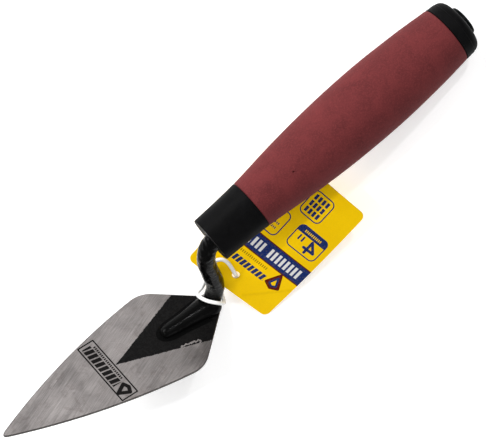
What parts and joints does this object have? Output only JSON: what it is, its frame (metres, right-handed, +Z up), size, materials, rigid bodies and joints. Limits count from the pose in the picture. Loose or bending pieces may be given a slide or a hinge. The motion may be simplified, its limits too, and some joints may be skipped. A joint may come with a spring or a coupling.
{
  "type": "pointing trowel",
  "caption": "Small kite-bladed pointing trowel with a cranked forged shank, a soft sleeved handle and a card tag on a plastic loop.",
  "frame": {"origin": "centre of the trowel's box on the surface it lies on", "axes": "+Z up from the surface, +X along the trowel towards the blade's tip"},
  "size_m": [0.235, 0.0872, 0.0519],
  "materials": {
    "blade_steel": "ground steel with fine scratches",
    "black_lacquer": "thick glossy black lacquer",
    "black_plastic": "fine satin moulding",
    "soft_grip": "matte soft-touch maroon",
    "plug_plastic": "semi-gloss black",
    "printed_card": "coated yellow card with blue print",
    "clear_plastic": "translucent white plastic"
  },
  "bodies": {
    "trowel": {"blade": "blade_steel", "shank": "black_lacquer", "weld_bead": "black_lacquer", "handle_core": "black_plastic", "grip_sleeve": "soft_grip", "end_plug": "plug_plastic"},
    "loop": {"tie_loop": "clear_plastic", "tie_lock": "clear_plastic"},
    "tag": {"swing_tag": "printed_card"}
  },
  "joints": [
    {"name": "loop_swing", "type": "hinge", "parent": "trowel", "child": "loop", "pos_m": [0.02547, 0.02626, 0.00367], "axis": [-0.3588, -0.6345, 0.6846], "range_deg": [0, 10]},
    {"name": "tag_turn", "type": "hinge", "parent": "loop", "child": "tag", "pos_m": [0.0113, 0.01896, 0.00785], "axis": [0.1156, 0.2587, 0.959], "range_deg": [-10, 5]}
  ]
}
